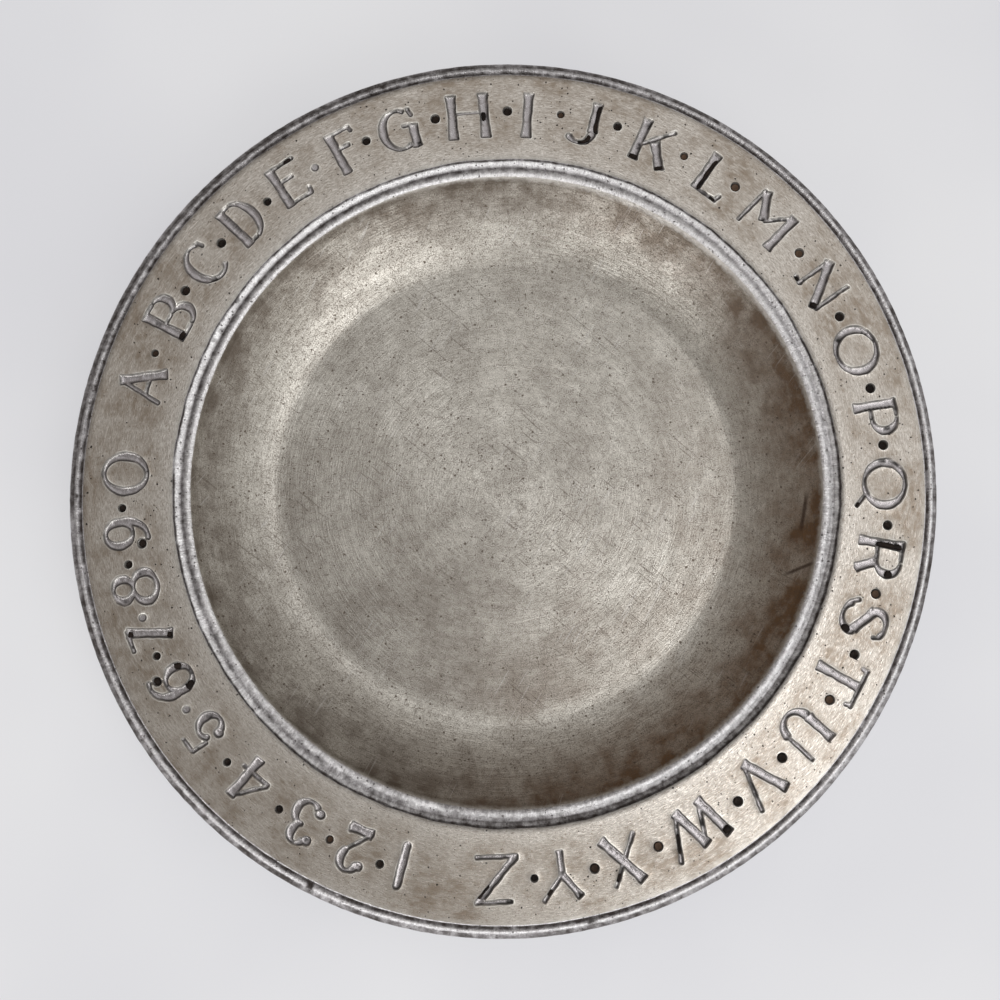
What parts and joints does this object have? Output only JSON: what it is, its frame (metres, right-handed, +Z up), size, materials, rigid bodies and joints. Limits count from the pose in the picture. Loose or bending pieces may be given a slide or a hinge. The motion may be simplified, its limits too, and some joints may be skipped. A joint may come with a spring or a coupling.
{
  "type": "alphabet plate",
  "caption": "Round cast metal plate with a deep well and a wide flat rim that carries the sunken alphabet, numerals and dots, with remains of dark filling.",
  "frame": {"origin": "on the plate's axis, in the plane that the plate rests on", "axes": "+Z up out of the well; seen from above with +Y away from the viewer, the letter Q is at +X, the gap between H and I at +Y and the letter Z at -Y"},
  "size_m": [0.216, 0.216, 0.0203],
  "materials": {
    "cast_aluminium": "satin",
    "dark_filling": "matte"
  },
  "bodies": {
    "root": {"dot_fill_1_2": "dark_filling", "dot_fill_2_3": "dark_filling", "dot_fill_3_4": "dark_filling", "dot_fill_4_5": "dark_filling", "dot_fill_6_7": "dark_filling", "dot_fill_8_9": "dark_filling", "dot_fill_9_0": "dark_filling", "dot_fill_A_B": "dark_filling", "dot_fill_B_C": "dark_filling", "dot_fill_C_D": "dark_filling", "dot_fill_D_E": "dark_filling", "dot_fill_F_G": "dark_filling", "dot_fill_G_H": "dark_filling", "dot_fill_H_I": "dark_filling", "dot_fill_I_J": "dark_filling", "dot_fill_J_K": "dark_filling", "dot_fill_K_L": "dark_filling", "dot_fill_L_M": "dark_filling", "dot_fill_M_N": "dark_filling", "dot_fill_N_O": "dark_filling", "dot_fill_O_P": "dark_filling", "dot_fill_P_Q": "dark_filling", "dot_fill_Q_R": "dark_filling", "dot_fill_R_S": "dark_filling", "dot_fill_S_T": "dark_filling", "dot_fill_T_U": "dark_filling", "dot_fill_U_V": "dark_filling", "dot_fill_V_W": "dark_filling", "dot_fill_W_X": "dark_filling", "dot_fill_X_Y": "dark_filling", "dot_fill_Y_Z": "dark_filling", "letter_fill_6_left_side": "dark_filling", "letter_fill_6_right_side": "dark_filling", "letter_fill_6_top_end": "dark_filling", "letter_fill_7_corner": "dark_filling", "letter_fill_7_foot": "dark_filling", "letter_fill_9_tail_end": "dark_filling", "letter_fill_B_stem": "dark_filling", "letter_fill_E_top_arm": "dark_filling", "letter_fill_H_right_stem": "dark_filling", "letter_fill_J_hook": "dark_filling", "letter_fill_J_stem": "dark_filling", "letter_fill_K_leg": "dark_filling", "letter_fill_K_stem": "dark_filling", "letter_fill_L_foot": "dark_filling", "letter_fill_L_stem": "dark_filling", "letter_fill_N_diagonal": "dark_filling", "letter_fill_N_left_foot": "dark_filling", "letter_fill_Q_tail": "dark_filling", "letter_fill_R_bowl": "dark_filling", "letter_fill_R_stem": "dark_filling", "letter_fill_S_lower_bowl": "dark_filling", "letter_fill_W_first_stroke": "dark_filling", "letter_fill_W_last_stroke": "dark_filling", "letter_fill_X_thin_stroke": "dark_filling", "letter_fill_Y_thin_arm": "dark_filling", "letter_fill_Z_diagonal": "dark_filling", "plate_casting": "cast_aluminium"}
  },
  "joints": []
}
